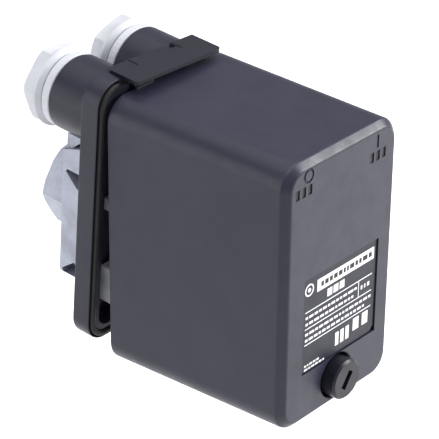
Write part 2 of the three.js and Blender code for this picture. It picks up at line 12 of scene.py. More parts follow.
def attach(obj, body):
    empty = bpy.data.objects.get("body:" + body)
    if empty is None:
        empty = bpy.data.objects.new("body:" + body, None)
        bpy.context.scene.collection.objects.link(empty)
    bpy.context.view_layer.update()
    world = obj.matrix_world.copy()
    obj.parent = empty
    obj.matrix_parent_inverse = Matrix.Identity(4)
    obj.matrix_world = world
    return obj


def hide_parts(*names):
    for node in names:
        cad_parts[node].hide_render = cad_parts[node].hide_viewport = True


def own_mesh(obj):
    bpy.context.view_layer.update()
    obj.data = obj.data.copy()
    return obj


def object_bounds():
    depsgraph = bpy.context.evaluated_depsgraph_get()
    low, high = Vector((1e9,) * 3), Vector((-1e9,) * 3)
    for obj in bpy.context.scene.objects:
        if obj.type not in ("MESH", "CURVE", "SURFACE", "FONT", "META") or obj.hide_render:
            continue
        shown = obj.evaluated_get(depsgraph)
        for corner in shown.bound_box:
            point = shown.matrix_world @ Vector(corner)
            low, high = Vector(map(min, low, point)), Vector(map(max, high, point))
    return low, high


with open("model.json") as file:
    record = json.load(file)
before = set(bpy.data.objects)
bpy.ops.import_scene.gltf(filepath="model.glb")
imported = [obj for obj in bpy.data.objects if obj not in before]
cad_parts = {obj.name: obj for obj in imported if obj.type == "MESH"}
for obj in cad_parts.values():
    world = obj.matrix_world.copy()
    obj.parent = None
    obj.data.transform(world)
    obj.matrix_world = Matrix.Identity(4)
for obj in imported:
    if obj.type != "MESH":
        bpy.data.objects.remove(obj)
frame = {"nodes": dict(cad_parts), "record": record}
cad_low, cad_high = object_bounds()

# ---------------------------------------------------------------- places and sizes, in millimetres
# Base coordinates: y = 0 at the base's front face, z = 0 at the cover's top edge, -y to the front.
PORT_REACH = 33.5
PORT_DROP = 48.2
TO_ROW = Matrix.Scale(0.001, 4) @ Matrix.Translation((0, -PORT_REACH, PORT_DROP))

# Cover coordinates: y = 0 at its rim, z = 0 at its top edge.
AJAR = math.radians(4.3)
HINGE_Y, HINGE_Z = -0.5, 0.7
RIM_Y, RIM_Z = -0.63, -0.66
COVER_TO_ROW = (
    TO_ROW
    @ Matrix.Translation((0, HINGE_Y, HINGE_Z))
    @ Matrix.Rotation(-AJAR, 4, "X")
    @ Matrix.Translation((0, RIM_Y, RIM_Z))
)
COVER_HALF, COVER_HIGH, COVER_DEEP, COVER_RADIUS = 25.4, 84.0, 62.6, 7.4
COVER_WALL, COVER_DRAFT, COVER_CHAMFER = 2.4, 0.0171, 2.05
BEAD_R, BEAD_POCKET_R, BEAD_FROM, BEAD_TO = 0.8, 1.15, 7, 14  # the hinge's two round beads
LABEL_LEFT, LABEL_RIGHT, LABEL_LOW, LABEL_TOP = -15.6, 17.1, -66.7, -36.9
LABEL_POCKET, LABEL_THICK, LABEL_CORNER = 1.2, 0.5, 1.6
OFF_RING = (-15.2, -5.3, 2.1, 1.45)  # x, z, outer and inner radius
ON_BAR = (14.25, 15.0, -8.2, -4.2)
BAR_GROUPS = [(-17.1, -9.5), (14.9, -10.5)]  # (x, z) of the three bars under each mark
MARK_DEEP = 0.5

SCREW_Z = -73.6
SCREW_HEAD_R, SCREW_HEAD_LONG, SCREW_PROUD, SCREW_END = 6, 5.5, 3.9, -22.0
SCREW_SHANK_R, SCREW_TIP_R = 2.4, 2
THREAD_ROOT_R, THREAD_FROM, THREAD_TO, THREAD_PITCH = 2.05, -40.0, -31.0, 0.9
SLOT_HALF, SLOT_HALF_WIDE, SLOT_DEEP, SLOT_TURN = 2.8, 1.05, 2.4, math.radians(-54)
BOSS_R, BOSS_END = 8, -50.5
COUNTERBORE_R, COUNTERBORE_MOUTH_R, COUNTERBORE_FLOOR = 6.7, 7.1, -57

BASE = (27.5, 4.3, -80.0, 7.2)  # half width, top, bottom and corner radius
TRAY = (22.8, -4.4, -75.7, 3.4)
SEAL = (26.5, 3.2, -79.3, 6.3)
SEAL_WIDE, SEAL_FRONT, SEAL_BACK, SEAL_LIP = 1.9, -0.7, 2.2, 0.3
BAY_HALF, BAY_SEAT = 19.7, 1.7
LEVER_SEAT_LEFT, LEVER_SEAT_RIGHT = -19.4, 18.2
RELIEF_REACH, RELIEF_TURN = 13.0, math.radians(51.2)
BASE_BACK, BASE_FLOOR = 6.2, 4.2
STUD_Z, STUD_BOSS_R, STUD_HOLE_R = SCREW_Z + HINGE_Z + RIM_Z, 4.8, 2.3
TUBE_X, TUBE_Z, TUBE_R, TUBE_END, TUBE_BORE = 13.1, -10.2, 11.3, 21.5, 9.3
TUBE_WEB_BACK, TUBE_WEB_HALF = 15, 7
LEVER_PIVOT_Z, LEVER_PIVOT_R = -6.5, 1.5
HEAD_SCREW_PITCH = 13.0
PISTON_HOLE_R = 11.6
HEAD_HALF, HEAD_SPLIT, HEAD_FOOT, HEAD_BACK, POCKET = 20.0, -25.4, -66.6, 19.1, 2.8
NECK_HALF, NECK_TOP = 18.8, -18.0
NECK_NOTCH = [(17.1, -24.9), (14.4, -22.3), (9, -20.2), (9, -23.2), (14.4, -24.3)]  # (y, z)
SHOULDER_RAMP = [(19.3, -25.4), (13.3, -23.2), (6.5, -20.7), (6.5, -26.5), (19.3, -26.5)]
SIDE_POCKETS = [
    [(17.9, -32), (17.4, -31.2), (9, -31.2), (13.2, -36.4)],
    [(17.9, -64.6), (13.4, -61), (9, -64.8), (9, -66.3), (17.9, -66.3)],
]
CORE_DEPTH = 4.5
HEX_FLATS, HEX_FROM, HEX_CHAMFER, PORT_BORE, BORE_DEEP = 24.2, 17.0, 1.5, 5.7, 12.0
PORT_THREADS, PORT_THREAD_DEEP = 11, 0.35
NUT_FLATS, NUT_CORNER, NUT_SKIRT = 20.8, 11.9, 12.2
NUT_FROM, NUT_HEX, NUT_END = 24.8, 26.6, 31.4
NUT_TURN = {"left": math.radians(-8), "right": math.radians(19)}
NUT_MOUTH_R, NUT_BORE_R = 5.4, 8.5
COLLAR_R, THREADED_R, GLAND_BORE_R, GLAND_BACK, GLAND_TOP = 11.2, 8.2, 6.5, 8, 27.6
RIB_EDGES, RIB_EVERY, RIB_DEEP = 144, 3, 0.1  # the collar's grip ribs

LEVER_FACE = -9.0  # front face of the main lever, which the springs' back ends stand off
# Each spring's room is its packed wire's radius, front_end is in metres in the row frame, and keep is
# the share of its length that is left at the lever's limit.
SPRINGS = {
    "range": {
        "x": 0, "z": -37, "radius": 5.1, "wire": 0.9, "room": 0.95, "turns": 6.5, "length": 23,
        "front_end": -0.0678, "keep": 0.9,
    },
    "differential": {
        "x": 8, "z": -31, "radius": 2.55, "wire": 0.42, "room": 0.45, "turns": 6.5, "length": 12,
        "front_end": -0.0557, "keep": 0.8,
    },
}

GAP = 0.3  # clearance between pieces that touch
SIDES = (-1, 1)


replaced = set()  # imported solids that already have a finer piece


# ---------------------------------------------------------------- mesh tools
def across(side, near, far):
    """The ends, in order, of a stretch on one side of the middle."""
    return sorted((side * near, side * far))


def rounded(half, top, low, radius, arc=12):
    """Points of an upright rounded rectangle, as (x, z)."""
    corners = [
        (half - radius, top - radius, 0),
        (radius - half, top - radius, 90),
        (radius - half, low + radius, 180),
        (half - radius, low + radius, 270),
    ]
    points = []
    for cx, cz, start in corners:
        for i in range(arc + 1):
            a = math.radians(start + 90 * i / arc)
            points.append((cx + radius * math.cos(a), cz + radius * math.sin(a)))
    return points


def stack(stations):
    """Solid skinned over outlines with the same number of points, each at its own y."""
    bm = bmesh.new()
    loops = [[bm.verts.new((x, y, z)) for x, z in outline] for y, outline in stations]
    for a, b in zip(loops, loops[1:]):
        for i in range(len(a)):
            j = (i + 1) % len(a)
            bm.faces.new((a[i], a[j], b[j], b[i]))
    bm.faces.new(loops[0])
    bm.faces.new(list(reversed(loops[-1])))
    bmesh.ops.recalc_face_normals(bm, faces=bm.faces)
    return bm


def prism(outline, y0, y1):
    return stack([(y0, outline), (y1, outline)])


def box(x0, x1, y0, y1, z0, z1):
    return prism([(x0, z0), (x1, z0), (x1, z1), (x0, z1)], y0, y1)


def turned(profile, x=0.0, z=0.0, around=64, phase=0.0):
    """Solid of revolution about the line along Y through (x, z).

    The profile is a list of (radius, y). It starts and ends on the axis, or it closes on itself.
    """
    closed = profile[0] == profile[-1]
    points = profile[:-1] if closed else profile
    bm = bmesh.new()
    rings = []
    for r, y in points:
        if r == 0:
            rings.append([bm.verts.new((x, y, z))] * around)
            continue
        ring = []
        for i in range(around):
            a = 2 * math.pi * i / around + phase
            ring.append(bm.verts.new((x + r * math.cos(a), y, z + r * math.sin(a))))
        rings.append(ring)
    pairs = list(zip(rings, rings[1:])) + ([(rings[-1], rings[0])] if closed else [])
    for a, b in pairs:
        for i in range(around):
            j = (i + 1) % around
            corners = []
            for v in (a[i], a[j], b[j], b[i]):
                if v not in corners:
                    corners.append(v)
            if len(corners) > 2:
                bm.faces.new(corners)
    bmesh.ops.recalc_face_normals(bm, faces=bm.faces)
    return bm


def rod(r, y0, y1, x=0.0, z=0.0, around=48, phase=0.0):
    return turned([(0, y0), (r, y0), (r, y1), (0, y1)], x, z, around, phase)


def hexagon(flats, y0, y1, x=0.0, z=0.0, phase=0.0):
    return rod(flats / math.sqrt(3), y0, y1, x, z, 6, phase)


def along_x(bm, y, z):
    """Turns a solid made about the Y axis to lie along X through (y, z)."""
    bm.transform(Matrix.Translation((0, y, z)) @ Matrix.Rotation(math.radians(-90), 4, "Z"))
    return bm


def loose(bm, name="tool"):
    mesh = bpy.data.meshes.new(name)
    bm.to_mesh(mesh)
    bm.free()
    made = bpy.data.objects.new(name, mesh)
    bpy.context.scene.collection.objects.link(made)
    return made


def settle(piece):
    """Applies a piece's modifiers to its mesh."""
    graph = bpy.context.evaluated_depsgraph_get()
    mesh = bpy.data.meshes.new_from_object(piece.evaluated_get(graph), depsgraph=graph)
    piece.modifiers.clear()
    old, piece.data = piece.data, mesh
    bpy.data.meshes.remove(old)
    return piece


def combine(piece, operation, solids):
    """Joins or cuts a piece with loose solids, exactly, and drops them."""
    for bm in solids:
        combine_with(piece, operation, loose(bm))
    return piece


def combine_with(piece, operation, tool):
    """Joins or cuts a piece with a finished loose piece, and drops that one."""
    step = piece.modifiers.new("step", "BOOLEAN")
    step.operation = operation
    step.solver = "EXACT"
    step.object = tool
    settle(piece)
    bpy.data.objects.remove(tool)
    return piece


def cut_with(piece, tool):
    return combine_with(piece, "DIFFERENCE", tool)


def join(piece, *solids):
    return combine(piece, "UNION", solids)


def cut(piece, *solids):
    return combine(piece, "DIFFERENCE", solids)


def soften(piece, width, segments=2, angle=32):
    """Rounds the sharp edges."""
    step = piece.modifiers.new("round", "BEVEL")
    step.width = width
    step.segments = segments
    step.limit_method = "ANGLE"
    step.angle_limit = math.radians(angle)
    step.use_clamp_overlap = True
    return settle(piece)


def shade(piece, angle=32):
    piece.data.shade_smooth()
    piece.data.set_sharp_from_angle(angle=math.radians(angle))
    step = piece.modifiers.new("even", "WEIGHTED_NORMAL")
    step.keep_sharp = True
    return settle(piece)


def place(piece, name, body, finish, to_row=TO_ROW, stands_for=()):
    """Puts a finished piece where it belongs, and names the solids that it stands for."""
    piece.name = name
    piece.data.name = name
    piece.data.transform(to_row)
    shade(piece)
    piece.data.materials.clear()
    piece.data.materials.append(finish)
    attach(piece, body)
    if stands_for:
        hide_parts(*stands_for)
        replaced.update(stands_for)
    return piece


# ---------------------------------------------------------------- materials
class Finish:
    """A principled material whose colour, roughness and bump come from noise in the row frame."""

    def __init__(self, name, roughness=0.5, **constants):
        self.material = bpy.data.materials.new(name)
        self.material.use_nodes = True
        self.tree = self.material.node_tree
        self.bsdf = self.tree.nodes["Principled BSDF"]
        self.bsdf.inputs["Roughness"].default_value = roughness
        for socket, value in constants.items():
            self.bsdf.inputs[socket.replace("_", " ")].default_value = value
        self.where = self.tree.nodes.new("ShaderNodeTexCoord").outputs["Object"]

    def node(self, kind, **settings):
        made = self.tree.nodes.new(kind)
        for key, value in settings.items():
            setattr(made, key, value)
        return made

    def link(self, a, b):
        self.tree.links.new(a, b)

    def noise(self, size_mm, detail=3.0, rough=0.55, stretch=(1, 1, 1)):
        """Noise whose blobs are about size_mm across."""
        mapping = self.node("ShaderNodeMapping")
        mapping.inputs["Scale"].default_value = stretch
        texture = self.node("ShaderNodeTexNoise")
        texture.inputs["Scale"].default_value = 1000 / size_mm
        texture.inputs["Detail"].default_value = detail
        texture.inputs["Roughness"].default_value = rough
        self.link(self.where, mapping.inputs["Vector"])
        self.link(mapping.outputs["Vector"], texture.inputs["Vector"])
        return texture.outputs["Fac"]

    def ramp(self, source, stops):
        """A colour for each stop (position, colour)."""
        made = self.node("ShaderNodeValToRGB")
        elements = made.color_ramp.elements
        while len(elements) < len(stops):
            elements.new(0.5)
        for element, (position, colour) in zip(elements, stops):
            element.position = position
            element.color = (*colour, 1)
        self.link(source, made.inputs["Fac"])
        return made.outputs["Color"]

    def spread(self, source, low, high):
        made = self.node("ShaderNodeMapRange")
        made.inputs["To Min"].default_value = low
        made.inputs["To Max"].default_value = high
        made.inputs["From Min"].default_value = 0.3
        made.inputs["From Max"].default_value = 0.7
        self.link(source, made.inputs["Value"])
        return made.outputs["Result"]

    def colour(self, source):
        self.link(source, self.bsdf.inputs["Base Color"])

    def roughness(self, source):
        self.link(source, self.bsdf.inputs["Roughness"])

    def bump(self, layers):
        """Stacks bumps, each (height source, depth in millimetres, strength)."""
        last = None
        for source, depth, strength in layers:
            made = self.node("ShaderNodeBump")
            made.inputs["Distance"].default_value = depth * 0.001
            made.inputs["Strength"].default_value = strength
            self.link(source, made.inputs["Height"])
            if last:
                self.link(last, made.inputs["Normal"])
            last = made.outputs["Normal"]
        self.link(last, self.bsdf.inputs["Normal"])


def grey(value, tint=(1, 1, 1)):
    return tuple(value * t for t in tint)


def moulded(name, value, tint, roughness, grain=0.35, gloss=0.5):
    """Moulded plastic: a fine spark-eroded grain, a cloudy sheen and slow changes of shade."""
    finish = Finish(name, roughness, **{"Specular IOR Level": gloss})
    shades = [(0.3, value * 0.88), (0.5, value), (0.72, value * 1.14)]
    cloud = finish.noise(14, 4, 0.6)
    finish.colour(finish.ramp(cloud, [(at, grey(shade, tint)) for at, shade in shades]))
    finish.roughness(finish.spread(finish.noise(5, 5, 0.65), roughness - 0.07, roughness + 0.07))
    finish.bump([(finish.noise(grain, 2, 0.5), 0.03, 0.45), (finish.noise(20, 2), 0.12, 0.12)])
    return finish.material


def plated(name, colour, roughness, metallic=1.0, line=(1, 1, 1), size=0.5):
    """Bare or plated metal: drawn or cast texture with small changes of sheen."""
    finish = Finish(name, roughness, Metallic=metallic)
    patch = finish.noise(6, 5, 0.6)
    dark = tuple(c * 0.82 for c in colour)
    light = tuple(min(1, c * 1.1) for c in colour)
    finish.colour(finish.ramp(patch, [(0.32, dark), (0.5, colour), (0.7, light)]))
    sheen = finish.noise(size * 3, 4, 0.6, line)
    finish.roughness(finish.spread(sheen, roughness - 0.09, roughness + 0.1))
    finish.bump([(finish.noise(size, 3, 0.6, line), 0.02, 0.35), (finish.noise(8, 3), 0.1, 0.15)])
    return finish.material


BLACK = moulded("black_moulding", 0.019, (1, 1, 1.85), 0.4, gloss=0.3)
# The base's black plastic, made darker than the cover's: painted shade for the flange front that lies
# in the cover's shadow.
BASE_BLACK_WITH_PAINTED_SHADE = moulded("base_moulding_painted_shade", 0.015, (1, 1, 1.9), 0.4, gloss=0.3)
LEVER_BLACK = moulded("lever_moulding", 0.009, (1, 1, 1.9), 0.3, 0.6, 0.3)
RUBBER = moulded("rubber", 0.012, (1, 1, 1.1), 0.6, 0.8, 0.3)
NYLON = moulded("grey_nylon", 0.46, (1, 1.02, 1.11), 0.42, 0.7, 0.4)
THERMOSET = moulded("thermoset", 0.03, (1.1, 1, 0.92), 0.5, 0.5)
IVORY = moulded("ivory_plastic", 0.5, (1.06, 1, 0.82), 0.45, 0.6)
DIE_CAST = plated("die_cast_zinc", (0.34, 0.36, 0.43), 0.5, 0.45, size=0.35)
STEEL = plated("zinc_plated_steel", (0.62, 0.63, 0.66), 0.3, line=(1, 6, 1))
SPRING = plated("spring_steel", (0.34, 0.345, 0.37), 0.32, line=(1, 1, 1))
BRASS = plated("brass", (0.72, 0.52, 0.22), 0.3, line=(1, 5, 1))
LABEL = moulded("label_film", 0.014, (1, 1, 1.7), 0.4, 1.2, 0.22)
INK = moulded("label_ink", 0.72, (1, 1, 1.02), 0.5, 0.6)
# Near-black: painted shade on the floors of the cover's engraved marks, and the real dark print of
# the label's header.
MARK_SHADE_AND_HEADER_INK = moulded("painted_mark_shade_and_header_ink", 0.003, (1, 1, 1), 0.6)
# The screw's black plastic, made darker than the cover's: painted shade for its head's side down in
# the counterbore.
SCREW_BLACK_WITH_PAINTED_SHADE = moulded("screw_moulding_painted_shade", 0.009, (1, 1, 1.7), 0.36, gloss=0.25)
SHEET_STEEL = plated("sheet_steel", (0.7, 0.71, 0.74), 0.45, 0.2, line=(1, 6, 1))
NODE_FINISHES = {"auto_off_lever": LEVER_BLACK, "mechanism_frame": SHEET_STEEL}
FINISHES = {
    "black_plastic": BLACK,
    "base_plastic": BASE_BLACK_WITH_PAINTED_SHADE,
    "rubber": RUBBER,
    "pale_plastic": NYLON,
    "die_cast_zinc": DIE_CAST,
    "zinc_steel": STEEL,
    "spring_steel": SPRING,
    "brass": BRASS,
    "thermoset": THERMOSET,
    "ivory_plastic": IVORY,
    "label": LABEL,
}


# ---------------------------------------------------------------- cover, label and captive screw
def cover_outline(y, inset):
    pull = inset - y * COVER_DRAFT
    radius = max(COVER_RADIUS - inset, 2)
    return rounded(COVER_HALF - pull, -pull, -COVER_HIGH + pull, radius)


def ring_mark(x, z, outer, inner, y0, y1):
    return turned([(inner, y0), (outer, y0), (outer, y1), (inner, y1), (inner, y0)], x, z, 40)


def front_marks(y0, y1):
    """The off ring, the on bar and the plain bars below them."""
    left, right, low, top = ON_BAR
    marks = [ring_mark(*OFF_RING, y0, y1), box(left, right, y0, y1, low, top)]
    for x, z in BAR_GROUPS:
        for i in range(3):
            marks.append(box(x - 3.4 + 2.6 * i, x - 1.8 + 2.6 * i, y0, y1, z - 1.5, z + 1.5))
    return marks


def make_cover():
    front = -COVER_DEEP
    shoulder = front + COVER_CHAMFER
    inner_front = front + COVER_WALL
    shell = loose(
        stack(
            [
                (inner_front, cover_outline(inner_front, COVER_WALL)),
                (0, cover_outline(0, COVER_WALL)),
                (0, cover_outline(0, 0)),
                (shoulder, cover_outline(shoulder, 0)),
                (front, cover_outline(front, COVER_CHAMFER)),
            ]
        )
    )
    soften(shell, 0.5, 3)
    join(shell, rod(BOSS_R, front + 1, BOSS_END, 0, SCREW_Z))
    for s in SIDES:
        lip = box(*across(s, 6.5, 19), -3, -0.05, 2 - COVER_HIGH, -76.6)
        web = box(*across(s, BEAD_FROM, BEAD_TO), -0.9, -RIM_Y, -0.4, 0.45)
        bead = rod(BEAD_R, *across(s, BEAD_FROM, BEAD_TO), around=24)
        join(shell, lip, web, along_x(bead, -RIM_Y, -RIM_Z))
    counterbore = [(0, front - 1), (COUNTERBORE_MOUTH_R, front - 1)]
    counterbore += [(COUNTERBORE_MOUTH_R, front - 0.05), (COUNTERBORE_R, front + 0.4)]
    counterbore += [(COUNTERBORE_R, COUNTERBORE_FLOOR), (0, COUNTERBORE_FLOOR)]
    cut(
        shell,
        box(LABEL_LEFT, LABEL_RIGHT, front - 1, front + LABEL_POCKET, LABEL_LOW, LABEL_TOP),
        turned(counterbore, 0, SCREW_Z),
        rod(SCREW_SHANK_R + 0.5, COUNTERBORE_FLOOR - 1, BOSS_END + 0.5, 0, SCREW_Z),
        *front_marks(front - 1, front + MARK_DEEP),
    )
    place(shell, "cover_shell", "cover", BLACK, COVER_TO_ROW, ["cover"])
    # Near-black sheets a little inside the engraved marks: painted shade for their hollows.
    for i, bm in enumerate(front_marks(front + 0.32, front + 0.52)):
        place(loose(bm), f"mark_{i + 1}", "cover", MARK_SHADE_AND_HEADER_INK, COVER_TO_ROW)


def label_print(front):
    """White header, ring, rules, rows of short dashes and plain blocks, by height above the foot."""
    top = front - 0.04
    back = front + 0.02
    low = -COVER_HIGH
    pick = random.Random(7)

    def bar(x0, x1, h0, h1):
        return box(x0, x1, top, back, low + h0, low + h1)

    def dashes(x0, x1, h, tall, longest):
        made, x = [], x0
        while x < x1 - 0.5:
            long = min(pick.uniform(0.35, 1) * longest, x1 - x)
            made.append(bar(x, x + long, h, h + tall))
            x += long + tall * 0.7
        return made

    ring_x, ring_z, margin = -12.9, low + 43.2, -14.2
    parts = [bar(-9.5, 15.7, 41.1, 44.85)]
    parts += [bar(-14.4, 15.2, rule - 0.14, rule + 0.14) for rule in (36.5, 31.2, 26.2)]
    parts += [bar(9.1, 9.35, 31.3, 36.4)]
    parts += [ring_mark(ring_x, ring_z, 1.9, 1.45, top, back)]
    parts += [rod(0.65, top, back, ring_x, ring_z, 24)]
    parts += [bar(x, x + 2.1, 37.7, 40.1) for x in (-4.9, -2.2, 0.5)]
    parts += dashes(10.3, 14.6, 33.3, 1.2, 1.2)
    rows = ((8.4, 34.3, 2.6), (7.2, 32.3, 2.2), (15, 29.1, 2.4), (12.5, 27.2, 2.0))
    for end, height, longest in rows:
        parts += dashes(margin, end, height, 0.75, longest)
    parts += [bar(x, x + 1.5, 20, 24.2) for x in (-0.6, 1.7, 4)]
    parts += [bar(x, x + 2.6, 21.3, 25.2) for x in (7.3, 11.4)]
    for end, height, longest in ((-7, 19.1, 1.4), (-5.4, 17.9, 1.6)):
        parts += dashes(margin, end, height, 0.6, longest)
    return parts


def header_dashes(front):
    """A row of dark dashes on the label's white header."""
    pick = random.Random(3)
    start, stop, space = -7.8, 13.6, 0.55
    low, top = 42.2 - COVER_HIGH, 43.7 - COVER_HIGH
    made, x = [], start
    while x < stop:
        long = pick.uniform(0.8, 2.1)
        made.append(box(x, x + long, front - 0.07, front, low, top))
        x += long + space
    return made


def make_label():
    back = -COVER_DEEP + LABEL_POCKET - GAP
    front = back - LABEL_THICK
    x0, x1, z0, z1 = LABEL_LEFT + GAP, LABEL_RIGHT - GAP, LABEL_LOW + GAP, LABEL_TOP - GAP
    outline = [(x0, z0), (x1 - LABEL_CORNER, z0), (x1, z0 + LABEL_CORNER), (x1, z1), (x0, z1)]
    plate = soften(loose(prism(outline, back, front)), 0.08, 2)
    place(plate, "label_film", "cover", LABEL, COVER_TO_ROW, ["label_plate"])
    for i, bm in enumerate(label_print(front)):
        place(loose(bm), f"label_print_{i + 1}", "cover", INK, COVER_TO_ROW)
    for i, bm in enumerate(header_dashes(front)):
        place(loose(bm), f"header_dash_{i + 1}", "cover", MARK_SHADE_AND_HEADER_INK, COVER_TO_ROW)


def make_cover_screw():
    face = -COVER_DEEP - SCREW_PROUD
    neck = face + SCREW_HEAD_LONG
    head, shank, root, tip, end = SCREW_HEAD_R, SCREW_SHANK_R, THREAD_ROOT_R, SCREW_TIP_R, SCREW_END
    profile = [(0, face), (head - 0.6, face), (head, face + 0.6), (head, neck)]
    profile += [(shank, neck), (shank, THREAD_FROM - 0.2)]
    for turn in range(round((THREAD_TO - THREAD_FROM) / THREAD_PITCH)):
        y = THREAD_FROM + THREAD_PITCH * turn
        profile += [(shank, y), (shank, y + 0.25), (root, y + 0.5), (root, y + 0.7)]
    profile += [(shank, THREAD_TO), (tip, THREAD_TO + 0.4), (tip, end - 0.8), (1.2, end), (0, end)]
    screw = loose(turned(profile, 0, SCREW_Z))
    slot = box(-SLOT_HALF, SLOT_HALF, face - 1, face + SLOT_DEEP, -SLOT_HALF_WIDE, SLOT_HALF_WIDE)
    slot.transform(Matrix.Translation((0, 0, SCREW_Z)) @ Matrix.Rotation(SLOT_TURN, 4, "Y"))
    cut(screw, slot)
    body = "cover_screw"
    place(screw, "captive_screw", body, SCREW_BLACK_WITH_PAINTED_SHADE, COVER_TO_ROW, [body])


# ---------------------------------------------------------------- base housing and cover seal
def inset(size, amount):
    half, top, low, radius = size
    return rounded(half - amount, top - amount, low + amount, max(radius - amount, 1.6))


def ring(outline_at):
    """Closed band skinned over (y, outline) stations that run out, round and back to the first."""
    bm = bmesh.new()
    loops = [[bm.verts.new((x, y, z)) for x, z in outline] for y, outline in outline_at]
    for a, b in zip(loops, loops[1:] + loops[:1]):
        for i in range(len(a)):
            j = (i + 1) % len(a)
            bm.faces.new((a[i], a[j], b[j], b[i]))
    bmesh.ops.recalc_face_normals(bm, faces=bm.faces)
    return bm


def relief(margin):
    """What the flat across the base's top right corner takes away."""
    bm = box(RELIEF_REACH + margin, 40, -5, 10, -30, 30)
    bm.transform(Matrix.Rotation(-RELIEF_TURN, 4, "Y"))
    return bm


def rocker_bay(margin):
    return box(-BAY_HALF - margin, BAY_HALF + margin, -4, 5, -2 - margin, 6)


def bead_pocket(side):
    bm = rod(BEAD_POCKET_R, *across(side, BEAD_FROM - 0.4, BEAD_TO + 0.4), around=24)
    return along_x(bm, HINGE_Y, HINGE_Z)


def head_screws():
    """Places (x, z) of the four screws that hold the pressure head, in base coordinates."""
    pitch = HEAD_SCREW_PITCH
    return [(x * pitch, z * pitch - PORT_DROP) for x in SIDES for z in SIDES]


def make_base():
    shell = loose(
        stack(
            [
                (BASE_BACK, inset(BASE, 0.5)),
                (BASE_BACK - 0.15, inset(BASE, 0.15)),
                (BASE_BACK - 0.5, inset(BASE, 0)),
                (0.25, inset(BASE, 0)),
                (0.07, inset(BASE, 0.07)),
                (0, inset(BASE, 0.2)),
                (0, inset(TRAY, -0.15)),
                (0.15, inset(TRAY, 0)),
                (BASE_FLOOR, inset(TRAY, 0)),
            ]
        )
    )
    tube = [(0, BASE_BACK - 1), (TUBE_R, BASE_BACK - 1), (TUBE_R, TUBE_END - 0.5)]
    tube += [(TUBE_R - 0.15, TUBE_END - 0.15), (TUBE_R - 0.5, TUBE_END), (0, TUBE_END)]
    for s in SIDES:
        join(shell, turned(tube, s * TUBE_X, TUBE_Z, 96))
    web_low, web_top = TUBE_Z - TUBE_WEB_HALF, TUBE_Z + TUBE_WEB_HALF
    join(shell, box(-TUBE_X, TUBE_X, BASE_BACK - 1, TUBE_WEB_BACK, web_low, web_top))
    join(shell, rod(STUD_BOSS_R, 0.1, BASE_BACK - 0.5, 0, STUD_Z))
    outer, inner = inset(BASE, SEAL_LIP), inset(SEAL, SEAL_WIDE + 0.2)
    groove = loose(ring([(2.5, outer), (-1, outer), (-1, inner), (2.5, inner)]), "groove")
    cut(groove, rocker_bay(-0.2), relief(-0.6))
    cut_with(shell, groove)
    outside = BASE_BACK + 1
    cut(
        shell,
        relief(0),
        *[rod(TUBE_BORE, BASE_FLOOR - 0.2, TUBE_END + 1, s * TUBE_X, TUBE_Z, 96) for s in SIDES],
        box(LEVER_SEAT_LEFT, LEVER_SEAT_RIGHT, -2, outside, BAY_SEAT, BASE[1] + 1),
        box(-4.2, 4.2, 1.8, BASE_FLOOR, -6, 3),
        *[bead_pocket(s) for s in SIDES],
        rod(PISTON_HOLE_R, BASE_FLOOR - 1, outside, 0, -PORT_DROP, 64),
        *[rod(2.2, 3, 8, x, z, 24) for x, z in head_screws()],
        rod(STUD_HOLE_R, -3, outside, 0, STUD_Z, 24),
        rod(LEVER_PIVOT_R, 3, outside, 0, LEVER_PIVOT_Z, 24),
    )
    place(shell, "base_shell", "base", BASE_BLACK_WITH_PAINTED_SHADE, TO_ROW, ["base_housing"])


def make_cover_seal():
    """A strip with a half-round face, stopped either side of the rocker and short of the relief."""
    half = SEAL_WIDE / 2
    stations = [(SEAL_BACK, inset(SEAL, 0))]
    for i in range(11):
        a = math.pi * i / 10
        stations.append((SEAL_FRONT * math.sin(a), inset(SEAL, half - half * math.cos(a))))
    stations.append((SEAL_BACK, inset(SEAL, SEAL_WIDE)))
    strip = loose(ring(stations))
    cut(strip, rocker_bay(0), relief(-0.9))
    place(strip, "seal_strip", "base", RUBBER, TO_ROW, ["cover_seal"])


# ---------------------------------------------------------------- cable glands
def make_gland_body(side, x):
    outer, collar, shank, root = TUBE_BORE - GAP, COLLAR_R, THREADED_R, THREADED_R - 0.35
    back, front = NUT_FROM - GAP, TUBE_END + GAP
    profile = [(GLAND_BORE_R, GLAND_BACK), (outer, GLAND_BACK), (outer, front)]
    profile += [(collar - 0.25, front), (collar, front + 0.25)]
    profile += [(collar, back - 0.3), (collar - 0.3, back), (shank, back)]
    for i in range(5):
        y = back + 0.3 + 0.65 * i
        profile += [(shank, y), (root, y + 0.25), (root, y + 0.4), (shank, y + 0.6)]
    profile += [(shank, GLAND_TOP), (GLAND_BORE_R, GLAND_TOP), (GLAND_BORE_R, GLAND_BACK)]
    body = loose(turned(profile, x, TUBE_Z, RIB_EDGES))
    flute_collar(body, x, collar, front + 0.15, back - 0.15)
    place(body, f"gland_sleeve_{side}", "base", NYLON, TO_ROW, [f"gland_body_{side}"])


def flute_collar(body, x, radius, y0, y1):
    """Sinks every third edge of the collar a little, which leaves fine grip ribs."""
    for v in body.data.vertices:
        dx, dz = v.co.x - x, v.co.z - TUBE_Z
        reach = math.hypot(dx, dz)
        number = round(math.atan2(dz, dx) / (2 * math.pi) * RIB_EDGES)
        if abs(reach - radius) < 0.02 and y0 < v.co.y < y1 and number % RIB_EVERY == 0:
            scale = (reach - RIB_DEEP) / reach
            v.co.x, v.co.z = x + dx * scale, TUBE_Z + dz * scale


